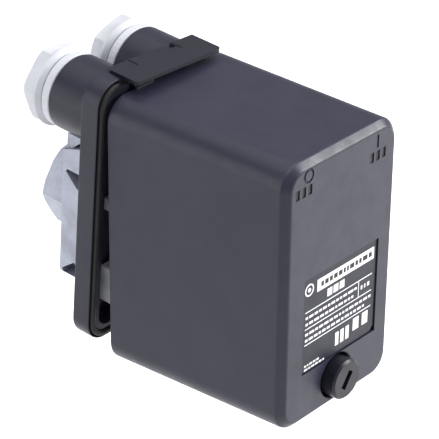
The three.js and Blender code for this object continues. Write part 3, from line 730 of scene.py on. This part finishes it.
def make_gland_nut(side, x):
    limit = [(0, NUT_HEX - 1), (NUT_CORNER, NUT_HEX - 1), (NUT_CORNER, NUT_END - 0.8)]
    limit += [(NUT_CORNER - 0.2, NUT_END - 0.4), (NUT_CORNER - 1.1, NUT_END), (0, NUT_END)]
    nut = loose(hexagon(NUT_FLATS, NUT_HEX, NUT_END + 1, x, TUBE_Z, NUT_TURN[side]))
    combine(nut, "INTERSECT", [turned(limit, x, TUBE_Z, 96)])
    wide = NUT_SKIRT
    skirt = [(0, NUT_FROM), (wide - 1.4, NUT_FROM), (wide - 1.2, NUT_FROM + 0.15)]
    skirt += [(wide - 0.15, NUT_FROM + 1), (wide, NUT_FROM + 1.3), (wide, NUT_HEX)]
    skirt += [(wide - 0.2, NUT_HEX + 0.3), (0, NUT_HEX + 0.3)]
    join(nut, turned(skirt, x, TUBE_Z, 96))
    mouth = [(0, 29), (NUT_MOUTH_R, 29), (NUT_MOUTH_R, NUT_END - 0.7)]
    mouth += [(NUT_MOUTH_R + 0.8, NUT_END + 0.1), (NUT_MOUTH_R + 0.8, 33), (0, 33)]
    cut(nut, rod(NUT_BORE_R, NUT_FROM - 1, 29.9, x, TUBE_Z, 64), turned(mouth, x, TUBE_Z, 64))
    soften(nut, 0.28, 3, 25)
    body = f"gland_nut_{side}"
    place(nut, f"gland_cap_{side}", body, NYLON, TO_ROW, [body])


def make_gland_seal(side, x):
    profile = [(4.4, 28.2), (4.8, 27.9), (7.8, 27.9), (8.1, 28.2), (8.1, 29.3), (7.8, 29.6)]
    profile += [(5.6, 29.6), (4.4, 29.1), (4.4, 28.2)]
    ring_piece = loose(turned(profile, x, TUBE_Z, 72))
    place(ring_piece, f"gland_ring_{side}", "base", RUBBER, TO_ROW, [f"gland_seal_{side}"])


def make_glands():
    for side, x in (("left", -TUBE_X), ("right", TUBE_X)):
        make_gland_body(side, x)
        make_gland_nut(side, x)
        make_gland_seal(side, x)


# ---------------------------------------------------------------- pressure head
def side_prism(corners, x0, x1):
    """A prism along X over (y, z) corners."""
    bm = bmesh.new()
    loops = [[bm.verts.new((x, y, z)) for y, z in corners] for x in sorted((x0, x1))]
    count = len(corners)
    for i in range(count):
        j = (i + 1) % count
        bm.faces.new((loops[0][i], loops[0][j], loops[1][j], loops[1][i]))
    bm.faces.new(loops[0])
    bm.faces.new(list(reversed(loops[1])))
    bmesh.ops.recalc_face_normals(bm, faces=bm.faces)
    return bm


def port_profile(floor, end):
    """The threaded bore, as (radius, y), with a countersink at its mouth."""
    crest, mouth = PORT_BORE - PORT_THREAD_DEEP, PORT_BORE + 0.8
    profile = [(0, floor), (PORT_BORE, floor)]
    for i in range(PORT_THREADS):
        y = floor + 0.8 + i
        profile += [(PORT_BORE, y), (crest, y + 0.4), (crest, y + 0.55), (PORT_BORE, y + 0.95)]
    profile += [(PORT_BORE, end - 0.6), (mouth, end + 0.2), (mouth, end + 1), (0, end + 1)]
    return profile


def make_pressure_head():
    front = BASE_BACK + GAP
    z = -PORT_DROP
    end = PORT_REACH
    casting = loose(prism(rounded(HEAD_HALF, HEAD_SPLIT, HEAD_FOOT, 1.5), front, HEAD_BACK + 0.2))
    neck = loose(prism(rounded(NECK_HALF, NECK_TOP, -40, 1), front, HEAD_BACK))
    soften(neck, 0.4, 3)
    for s in SIDES:
        cut(neck, side_prism(NECK_NOTCH, s * (NECK_HALF - POCKET), s * (NECK_HALF + 1)))
    soften(casting, 0.5, 3)
    combine_with(casting, "UNION", neck)
    for s in SIDES:
        inner, outer = s * (HEAD_HALF - CORE_DEPTH), s * (HEAD_HALF + 1)
        cut(casting, *[side_prism(corners, inner, outer) for corners in SIDE_POCKETS])
        join(casting, side_prism(SHOULDER_RAMP, s * (HEAD_HALF - POCKET), s * (HEAD_HALF - 0.02)))
    collar = [(0, 17), (13.2, 17), (13.2, 19.6), (12.6, 20.4), (12.6, 22.2), (12.3, 22.5), (0, 22.5)]
    join(casting, turned(collar, 0, z, 72))
    hexa = loose(hexagon(HEX_FLATS, HEX_FROM, end, 0, z))
    corner = HEX_FLATS / math.sqrt(3)
    limit = [(0, 16), (corner, 16), (corner, end - 0.9), (corner - HEX_CHAMFER, end), (0, end)]
    combine(hexa, "INTERSECT", [turned(limit, 0, z, 96)])
    soften(hexa, 0.3, 3, 25)
    combine_with(casting, "UNION", hexa)
    floor = end - BORE_DEEP
    cut(
        casting,
        rod(16, front - 1, front + 2, 0, z, 72),
        rod(12, front, front + 4, 0, z, 72),
        turned(port_profile(floor, end), 0, z, 72),
        rod(2.5, front + 3, floor + 1, 0, z, 32),
        *[rod(2.1, front - 1, 11.2, x, up, 24) for x, up in head_screws()],
        *[rod(TUBE_R + GAP, front - 1, HEAD_BACK + 2, s * TUBE_X, TUBE_Z, 96) for s in SIDES],
    )
    place(casting, "head_casting", "base", DIE_CAST, TO_ROW, ["pressure_head"])


# ---------------------------------------------------------------- springs
def coil(radius, wire, turns, length, steps=30, sides=12):
    """A compression spring along -Y, of round wire of radius wire, whose end turns close up."""
    bm = bmesh.new()
    count = int(turns * steps)
    flat = 1.0 / turns
    closed = 0.7 * wire
    rings = []
    for i in range(count + 1):
        t = i / count
        if t < flat:
            along = closed * t / flat
        elif t > 1 - flat:
            along = length - closed * (1 - t) / flat
        else:
            along = closed + (length - 2 * closed) * (t - flat) / (1 - 2 * flat)
        angle = 2 * math.pi * turns * t
        out = Vector((math.cos(angle), 0, math.sin(angle)))
        centre = out * radius + Vector((0, -along, 0))
        section = []
        for k in range(sides):
            b = 2 * math.pi * k / sides
            offset = out * wire * math.cos(b) + Vector((0, wire * math.sin(b), 0))
            section.append(bm.verts.new(centre + offset))
        rings.append(section)
    for a, b in zip(rings, rings[1:]):
        for k in range(sides):
            j = (k + 1) % sides
            bm.faces.new((a[k], a[j], b[j], b[k]))
    bm.faces.new(rings[0])
    bm.faces.new(list(reversed(rings[-1])))
    bmesh.ops.recalc_face_normals(bm, faces=bm.faces)
    return bm


def make_springs():
    """Winds each coil at its full length, with its back end standing off the lever's face."""
    for name, size in SPRINGS.items():
        bm = coil(size["radius"], size["wire"], size["turns"], size["length"])
        bm.transform(Matrix.Translation((size["x"], LEVER_FACE - GAP - size["room"], size["z"])))
        piece = loose(bm)
        place(piece, f"{name}_coil", "base", SPRING, TO_ROW, [f"{name}_spring"])
        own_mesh(piece)


# ---------------------------------------------------------------- pieces refined from their solids
def refine(node, body, slot, width=0.15):
    """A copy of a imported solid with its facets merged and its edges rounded."""
    source = frame["nodes"][node]
    bm = bmesh.new()
    bm.from_mesh(source.data)
    bm.transform(Matrix.Scale(1000, 4))
    bmesh.ops.remove_doubles(bm, verts=bm.verts, dist=0.002)
    bmesh.ops.dissolve_limit(bm, angle_limit=math.radians(1), verts=bm.verts, edges=bm.edges)
    piece = loose(bm, node + "_fine")
    soften(piece, width, 2, 40)
    finish = NODE_FINISHES.get(node, FINISHES[slot])
    place(piece, node + "_fine", body, finish, Matrix.Scale(0.001, 4), [node])


def refine_the_rest():
    slots = {s["node"]: s["material_slot"] for s in frame["record"]["subparts"]}
    for body, members in frame["record"]["behaviour"]["bodies"].items():
        for node in members:
            if node not in replaced:
                refine(node, body, slots[node])


make_cover()
make_label()
make_cover_screw()
make_base()
make_cover_seal()
make_glands()
make_pressure_head()
make_springs()
refine_the_rest()


# ---------------------------------------------------------------- camera, light and floor, in metres
CAMERA_LENS = 185.3  # millimetres, for a 36 mm sensor
CAMERA_AT = (-0.42938, -0.3969, 0.34004)
CAMERA_TURN = (-51.627, 31.071, 4.4895)  # azimuth, elevation and roll, in degrees
FLOOR_DROP = 0.08  # the floor lies this far below the part, which keeps its shadow out of view
WORLD_STRENGTH = 0.45


def look_from(azimuth, elevation, roll):
    a, e = math.radians(azimuth), math.radians(elevation)
    back = Vector((math.sin(a) * math.cos(e), -math.cos(a) * math.cos(e), math.sin(e)))
    turn = (-back).to_track_quat("-Z", "Y").to_matrix().to_4x4()
    return turn @ Matrix.Rotation(math.radians(roll), 4, "Z")


def make_camera():
    data = bpy.data.cameras.new("camera")
    data.sensor_width = 36
    data.lens = CAMERA_LENS
    data.clip_start, data.clip_end = 0.05, 20
    camera = bpy.data.objects.new("camera", data)
    bpy.context.scene.collection.objects.link(camera)
    camera.matrix_world = Matrix.Translation(CAMERA_AT) @ look_from(*CAMERA_TURN)
    bpy.context.scene.camera = camera


def soft_light(name, at, towards, width, height, power):
    data = bpy.data.lights.new(name, "AREA")
    data.shape = "RECTANGLE"
    data.size, data.size_y, data.energy = width, height, power
    lamp = bpy.data.objects.new(name, data)
    bpy.context.scene.collection.objects.link(lamp)
    lamp.location = at
    lamp.visible_camera = False
    lamp.rotation_mode = "QUATERNION"
    lamp.rotation_quaternion = (Vector(towards) - Vector(at)).to_track_quat("-Z", "Y")


def make_studio():
    middle = (cad_low + cad_high) / 2
    ground = cad_low.z - FLOOR_DROP
    world = bpy.data.worlds.new("studio")
    world.use_nodes = True
    sky = world.node_tree.nodes["Background"]
    sky.inputs["Color"].default_value = (1, 1, 1, 1)
    sky.inputs["Strength"].default_value = WORLD_STRENGTH
    bpy.context.scene.world = world
    soft_light("overhead", (0, 0.05, 1.35), (0, 0.05, ground), 1.7, 1.7, 25)
    soft_light("front_right", (0.64, -0.58, 0.44), middle, 0.4, 0.5, 13)
    soft_light("back_left", (-0.75, 0.4, 0.1), middle, 0.5, 0.7, 2.8)
    bm = bmesh.new()
    bmesh.ops.create_grid(bm, x_segments=1, y_segments=1, size=6)
    floor = loose(bm, "floor")
    floor.location = (0, 0, ground)
    finish = Finish("floor", 0.7)
    shades = [(0.3, grey(0.9)), (0.7, grey(0.93))]
    finish.colour(finish.ramp(finish.noise(40, 2), shades))
    floor.data.materials.append(finish.material)
    bpy.context.scene.view_settings.view_transform = "Standard"


make_camera()
make_studio()
